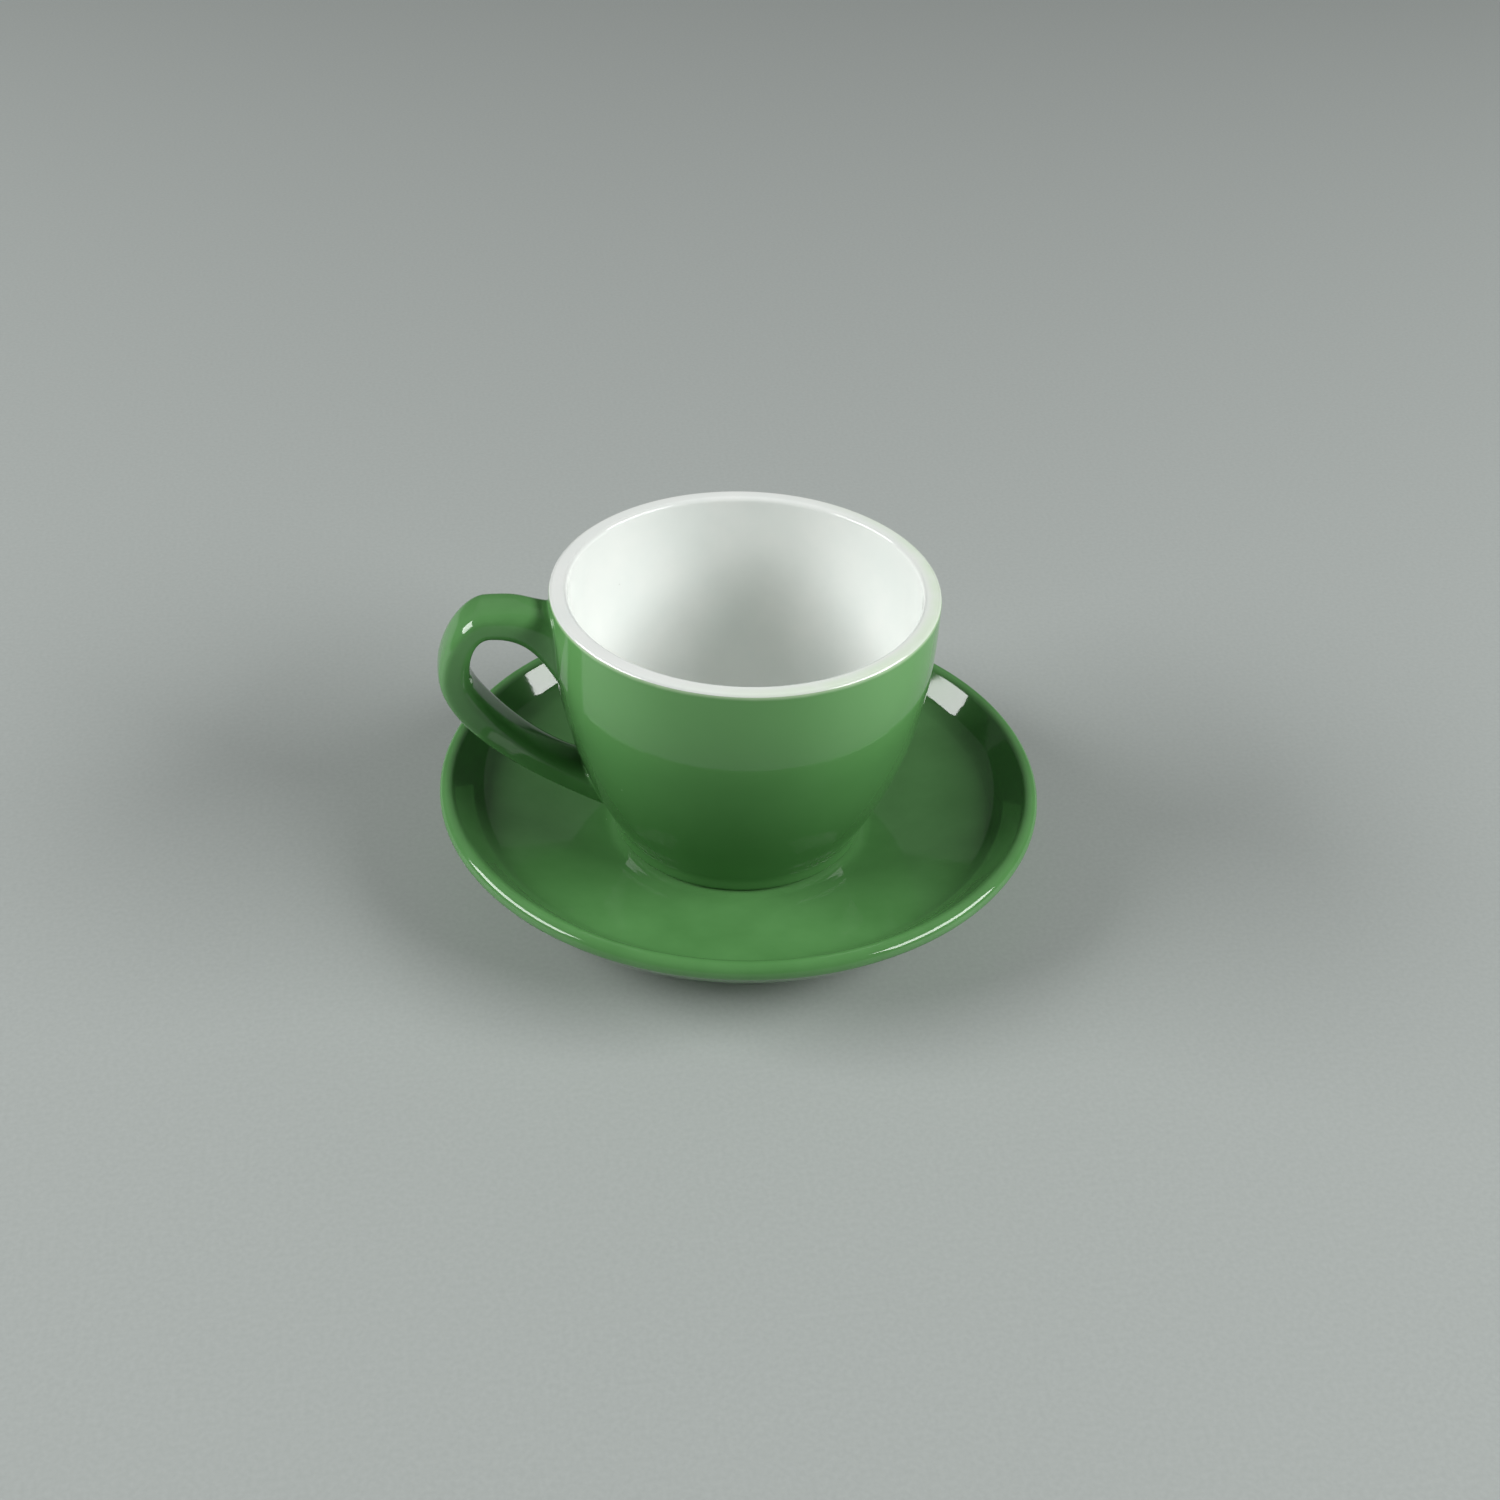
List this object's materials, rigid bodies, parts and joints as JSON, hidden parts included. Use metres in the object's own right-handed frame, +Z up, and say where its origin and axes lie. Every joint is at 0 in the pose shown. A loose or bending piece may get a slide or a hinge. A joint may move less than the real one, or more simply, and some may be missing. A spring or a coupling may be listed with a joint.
{
  "type": "cup and saucer",
  "caption": "Porcelain coffee cup with a tapered round bowl and a strap handle, glazed green outside and white inside, standing in the well of a dished green saucer.",
  "frame": {"origin": "on the table under the middle of the saucer's foot ring, on the axis of saucer and bowl", "axes": "+Z up along the axis of saucer and bowl, -X towards the handle, +Y to the left of someone looking from the bowl along +X"},
  "size_m": [0.145, 0.145, 0.0735],
  "materials": {
    "porcelain": "bare fired clay",
    "slip": "fired slip",
    "white_glaze": "gloss",
    "green_glaze": "gloss"
  },
  "bodies": {
    "saucer": {"saucer_body": "porcelain", "saucer_glaze": "green_glaze"},
    "cup": {"cup_body": "porcelain", "cup_handle": "porcelain", "handle_slip": "slip", "cup_lining": "white_glaze", "cup_coat": "green_glaze", "handle_glaze": "green_glaze"}
  },
  "joints": [
    {"name": "cup_lift", "type": "slide", "parent": "saucer", "child": "cup", "axis": [0, 0, 1], "range_m": [0, 0.12]}
  ]
}
